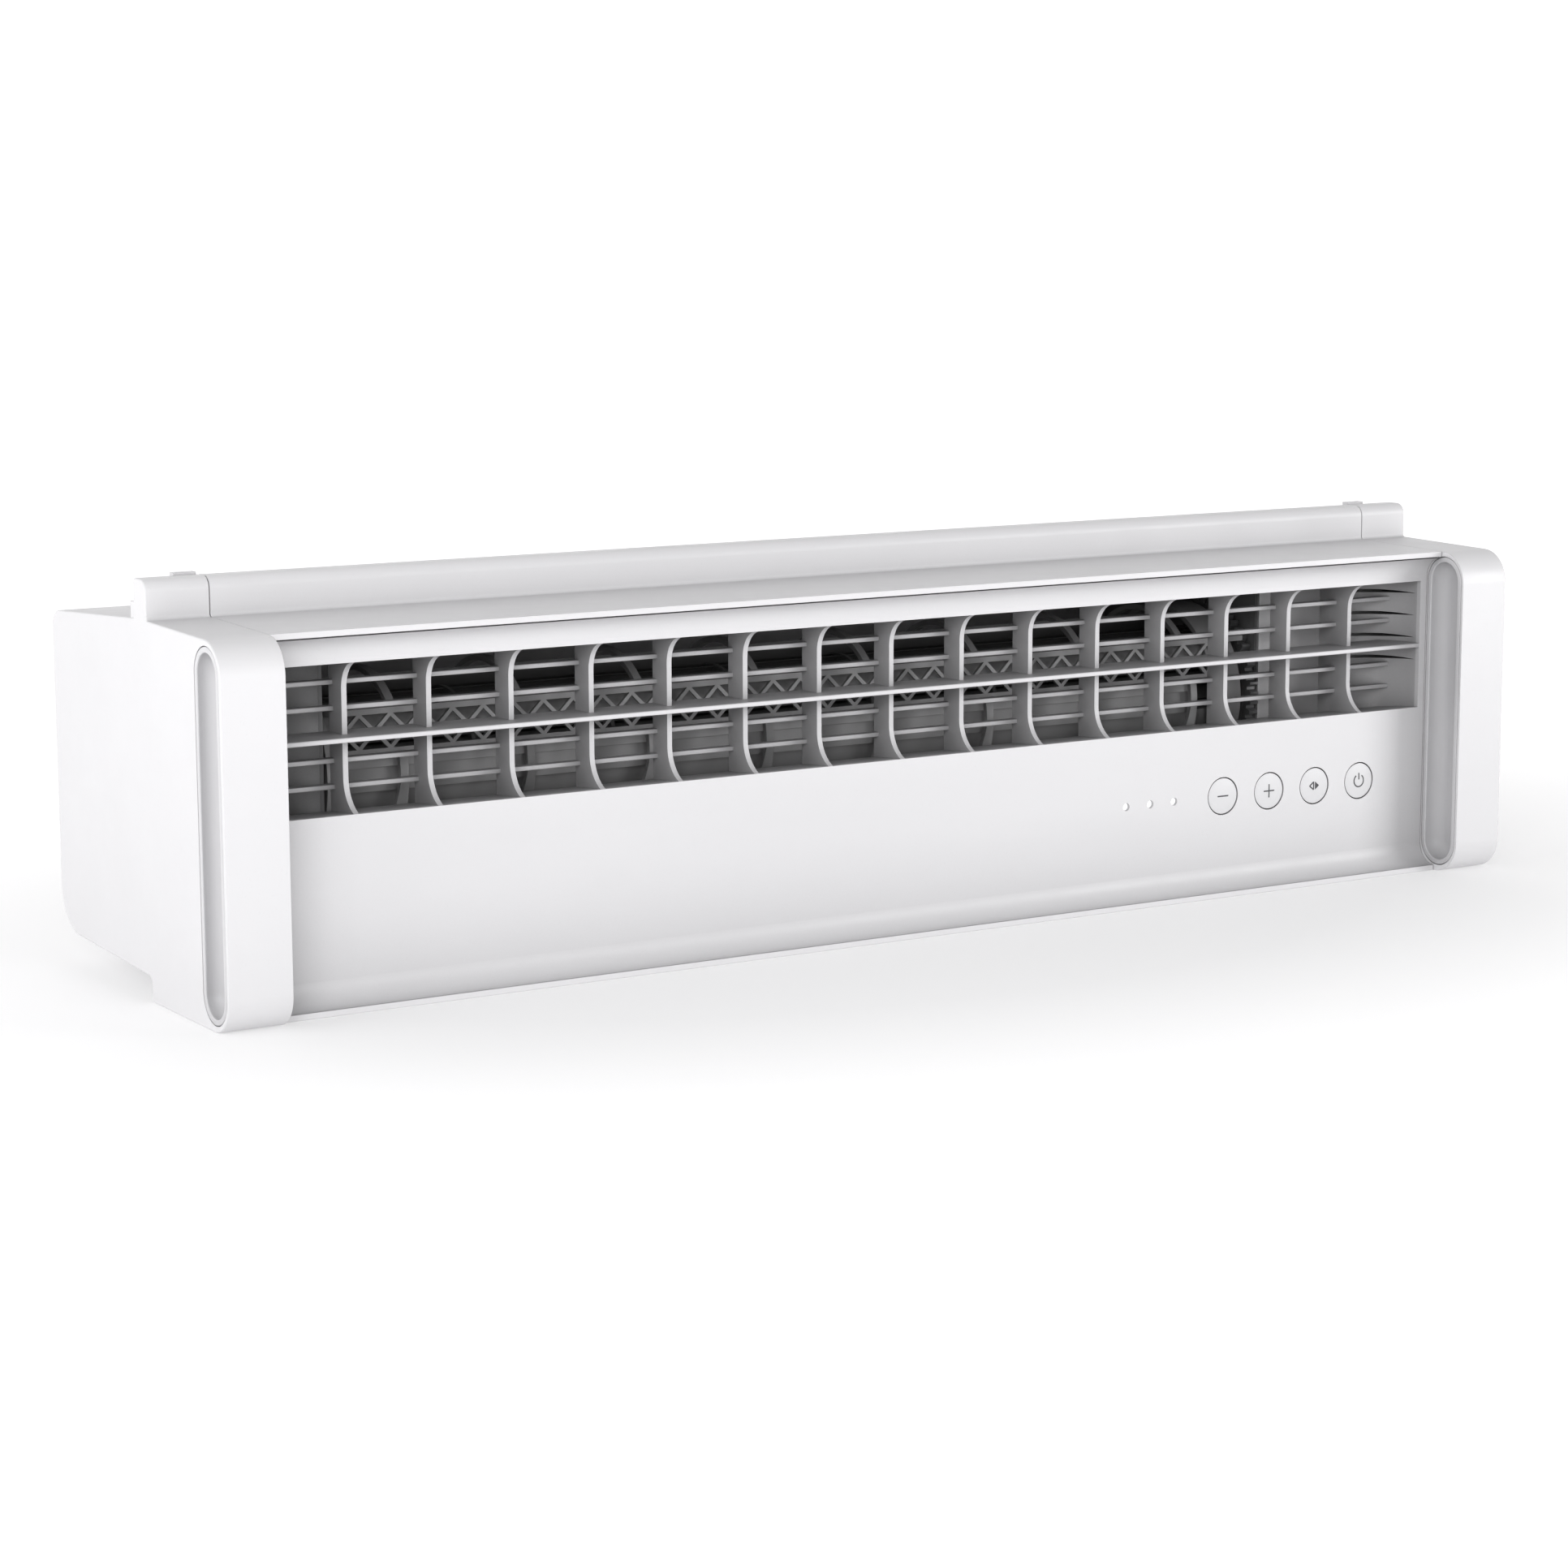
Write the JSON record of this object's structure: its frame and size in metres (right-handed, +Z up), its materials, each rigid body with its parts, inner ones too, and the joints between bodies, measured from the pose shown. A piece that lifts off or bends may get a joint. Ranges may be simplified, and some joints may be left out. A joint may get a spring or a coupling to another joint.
{
  "type": "window fan",
  "caption": "Low-profile window fan: finned front grille, crossflow impeller in a turning scroll drum, push buttons and sliding end sleeves.",
  "frame": {"origin": "bottom centre of the whole fan's box, at rest with both end sleeves closed", "axes": "+X along the body to the right as seen from the room, +Y outdoors through the window, +Z up"},
  "size_m": [0.676, 0.1818, 0.1771],
  "materials": {
    "case_plastic": "fine satin moulded texture",
    "grille_plastic": "satin",
    "grip_plastic": "satin",
    "button_plastic": "soft gloss",
    "inner_plastic": "plain moulded",
    "drum_plastic": "plain moulded",
    "gear_plastic": "natural acetal",
    "impeller_plastic": "plain moulded",
    "steel": "ground",
    "motor_steel": "zinc grey",
    "lamination": "stacked sheet",
    "bronze": "sintered",
    "copper": "enamelled wire",
    "circuit_board": "solder mask",
    "component_black": "moulded",
    "clear_plastic": "clear",
    "lamp_white": "gloss",
    "rubber": "matt",
    "foam": "closed-cell foam"
  },
  "bodies": {
    "housing": {"top_cover": "case_plastic", "base_tray": "case_plastic", "rear_grille": "case_plastic", "front_panel": "case_plastic", "front_grille": "grille_plastic", "left_cheek": "grille_plastic", "right_cheek": "grille_plastic", "left_bulkhead": "inner_plastic", "right_bulkhead": "inner_plastic", "upper_baffle": "inner_plastic", "lower_baffle": "inner_plastic", "case_screws": "steel", "cord_gland": "rubber", "shaft_bearing": "bronze", "motor_shell": "motor_steel", "motor_end_cap": "motor_steel", "motor_bearings": "bronze", "motor_stator": "lamination", "motor_coils": "copper", "motor_screws": "steel", "gear_motor": "motor_steel", "control_board": "circuit_board", "button_switches": "component_black", "lamp_lenses": "clear_plastic", "lamp_chips": "lamp_white", "power_board": "circuit_board", "power_parts": "component_black", "sash_gasket": "foam", "sill_gasket": "foam"},
    "left_sleeve": {"left_sleeve": "case_plastic", "left_extension": "inner_plastic", "left_outer_grip": "grip_plastic", "left_inner_grip": "grip_plastic"},
    "right_sleeve": {"right_sleeve": "case_plastic", "right_extension": "inner_plastic", "right_outer_grip": "grip_plastic", "right_inner_grip": "grip_plastic"},
    "drum": {"drum_scroll": "drum_plastic", "drum_stabiliser": "drum_plastic", "drum_tongue": "drum_plastic", "drum_hoops": "drum_plastic", "drum_lattice": "drum_plastic", "drum_collar": "drum_plastic", "drum_left_end": "drum_plastic", "drum_right_end": "drum_plastic", "drum_left_bush": "gear_plastic", "drum_right_bush": "gear_plastic", "drum_ring_gear": "gear_plastic"},
    "impeller": {"impeller": "impeller_plastic", "stub_shaft": "steel", "shaft_coupling": "rubber", "motor_shaft": "steel", "motor_rotor": "lamination"},
    "pinion": {"drive_pinion": "gear_plastic", "pinion_shaft": "steel"},
    "minus_button": {"minus_button": "button_plastic"},
    "plus_button": {"plus_button": "button_plastic"},
    "reverse_button": {"reverse_button": "button_plastic"},
    "power_button": {"power_button": "button_plastic"}
  },
  "joints": [
    {"name": "left_sleeve_slide", "type": "slide", "parent": "housing", "child": "left_sleeve", "axis": [-1, 0, 0], "range_m": [0, 0.03]},
    {"name": "right_sleeve_slide", "type": "slide", "parent": "housing", "child": "right_sleeve", "axis": [1, 0, 0], "range_m": [0, 0.03]},
    {"name": "drum_turn", "type": "hinge", "parent": "housing", "child": "drum", "pos_m": [0, 0.0091, 0.0886], "axis": [1, 0, 0], "range_deg": [0, 180]},
    {"name": "pinion_turn", "type": "hinge", "parent": "housing", "child": "pinion", "pos_m": [0.225, 0.03586, 0.03827], "axis": [1, 0, 0], "range_deg": [-675, 0]},
    {"name": "impeller_spin", "type": "hinge", "parent": "housing", "child": "impeller", "pos_m": [0, 0.0091, 0.0886], "axis": [1, 0, 0], "continuous": true},
    {"name": "minus_button_press", "type": "slide", "parent": "housing", "child": "minus_button", "axis": [0, 1, 0], "range_m": [0, 0.001], "stiffness_N_per_m": 300},
    {"name": "plus_button_press", "type": "slide", "parent": "housing", "child": "plus_button", "axis": [0, 1, 0], "range_m": [0, 0.001], "stiffness_N_per_m": 300},
    {"name": "reverse_button_press", "type": "slide", "parent": "housing", "child": "reverse_button", "axis": [0, 1, 0], "range_m": [0, 0.001], "stiffness_N_per_m": 300},
    {"name": "power_button_press", "type": "slide", "parent": "housing", "child": "power_button", "axis": [0, 1, 0], "range_m": [0, 0.001], "stiffness_N_per_m": 300}
  ],
  "couplings": [
    {"joint": "pinion_turn", "follows": "drum_turn", "ratio": -3.75}
  ]
}
